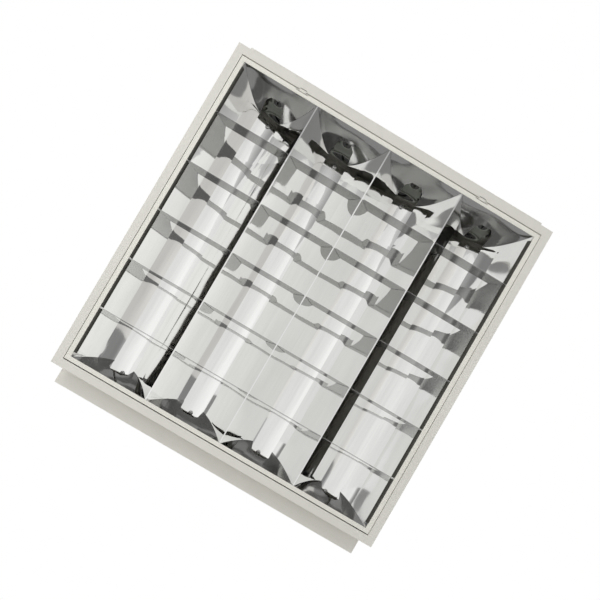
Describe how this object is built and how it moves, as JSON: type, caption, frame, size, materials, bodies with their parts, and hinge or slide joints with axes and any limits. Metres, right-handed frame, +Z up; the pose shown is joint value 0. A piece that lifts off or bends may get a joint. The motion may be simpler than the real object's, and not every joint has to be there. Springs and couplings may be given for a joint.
{
  "type": "recessed troffer light",
  "caption": "Square recessed ceiling luminaire with hinged mirror louvre of parabolic lanes and cross blades, lampholders with turning rotors and ceiling-grid flange.",
  "frame": {"origin": "centre of the flange's underside, on the plane of the finished ceiling", "axes": "+Z up into the ceiling void, the louvre faces -Z; +Y along the lamps, away from the louvre's hinge; +X across the lamps"},
  "size_m": [0.595, 0.656, 0.0924],
  "materials": {
    "white_steel": "powder coated, satin",
    "frame_steel": "powder coated, satin",
    "zinc_steel": "zinc plated",
    "mirror_aluminium": "anodised mirror",
    "bright_aluminium": "anodised mirror",
    "blade_aluminium": "anodised satin",
    "holder_plastic": "moulded",
    "rotor_plastic": "moulded",
    "gear_case": "satin",
    "terminal_plastic": "moulded",
    "grommet_rubber": "matt"
  },
  "bodies": {
    "housing": {"back_panel": "white_steel", "side_wall_1": "white_steel", "side_wall_2": "white_steel", "end_pocket_1": "white_steel", "end_pocket_2": "white_steel", "ceiling_flange": "white_steel", "hinge_hook_1": "zinc_steel", "hinge_hook_2": "zinc_steel", "holder_rail_1": "zinc_steel", "holder_rail_2": "zinc_steel", "top_reflector_1": "bright_aluminium", "top_reflector_2": "bright_aluminium", "top_reflector_3": "bright_aluminium", "top_reflector_4": "bright_aluminium", "lampholder_1": "holder_plastic", "lampholder_2": "holder_plastic", "lampholder_3": "holder_plastic", "lampholder_4": "holder_plastic", "lampholder_5": "holder_plastic", "lampholder_6": "holder_plastic", "lampholder_7": "holder_plastic", "lampholder_8": "holder_plastic", "ballast": "gear_case", "terminal_block": "terminal_plastic", "cable_grommet": "grommet_rubber"},
    "louvre": {"louvre_frame": "frame_steel", "hinge_lug_1": "zinc_steel", "hinge_lug_2": "zinc_steel", "rib_1": "mirror_aluminium", "rib_2": "mirror_aluminium", "rib_3": "mirror_aluminium", "side_mirror_1": "mirror_aluminium", "side_mirror_2": "mirror_aluminium", "end_plate_1": "mirror_aluminium", "end_plate_2": "mirror_aluminium", "end_plate_3": "mirror_aluminium", "end_plate_4": "mirror_aluminium", "end_plate_5": "mirror_aluminium", "end_plate_6": "mirror_aluminium", "end_plate_7": "mirror_aluminium", "end_plate_8": "mirror_aluminium", "cross_blade_1": "blade_aluminium", "cross_blade_2": "blade_aluminium", "cross_blade_3": "blade_aluminium", "cross_blade_4": "blade_aluminium", "cross_blade_5": "blade_aluminium", "latch_spring_1": "zinc_steel", "latch_spring_2": "zinc_steel"},
    "lamp_rotor_1": {"rotor_1": "rotor_plastic"},
    "lamp_rotor_2": {"rotor_2": "rotor_plastic"},
    "lamp_rotor_3": {"rotor_3": "rotor_plastic"},
    "lamp_rotor_4": {"rotor_4": "rotor_plastic"},
    "lamp_rotor_5": {"rotor_5": "rotor_plastic"},
    "lamp_rotor_6": {"rotor_6": "rotor_plastic"},
    "lamp_rotor_7": {"rotor_7": "rotor_plastic"},
    "lamp_rotor_8": {"rotor_8": "rotor_plastic"}
  },
  "joints": [
    {"name": "louvre_hinge", "type": "hinge", "parent": "housing", "child": "louvre", "pos_m": [0, -0.2821, 0.0015], "axis": [-1, 0, 0], "range_deg": [0, 90]},
    {"name": "rotor_turn_1", "type": "hinge", "parent": "housing", "child": "lamp_rotor_1", "pos_m": [-0.20588, -0.275, 0.0446], "axis": [0, 1, 0], "range_deg": [0, 90]},
    {"name": "rotor_turn_2", "type": "hinge", "parent": "housing", "child": "lamp_rotor_2", "pos_m": [-0.06863, -0.275, 0.0446], "axis": [0, 1, 0], "range_deg": [0, 90]},
    {"name": "rotor_turn_3", "type": "hinge", "parent": "housing", "child": "lamp_rotor_3", "pos_m": [0.06863, -0.275, 0.0446], "axis": [0, 1, 0], "range_deg": [0, 90]},
    {"name": "rotor_turn_4", "type": "hinge", "parent": "housing", "child": "lamp_rotor_4", "pos_m": [0.20588, -0.275, 0.0446], "axis": [0, 1, 0], "range_deg": [0, 90]},
    {"name": "rotor_turn_5", "type": "hinge", "parent": "housing", "child": "lamp_rotor_5", "pos_m": [-0.20588, 0.275, 0.0446], "axis": [0, -1, 0], "range_deg": [0, 90]},
    {"name": "rotor_turn_6", "type": "hinge", "parent": "housing", "child": "lamp_rotor_6", "pos_m": [-0.06863, 0.275, 0.0446], "axis": [0, -1, 0], "range_deg": [0, 90]},
    {"name": "rotor_turn_7", "type": "hinge", "parent": "housing", "child": "lamp_rotor_7", "pos_m": [0.06863, 0.275, 0.0446], "axis": [0, -1, 0], "range_deg": [0, 90]},
    {"name": "rotor_turn_8", "type": "hinge", "parent": "housing", "child": "lamp_rotor_8", "pos_m": [0.20588, 0.275, 0.0446], "axis": [0, -1, 0], "range_deg": [0, 90]}
  ]
}
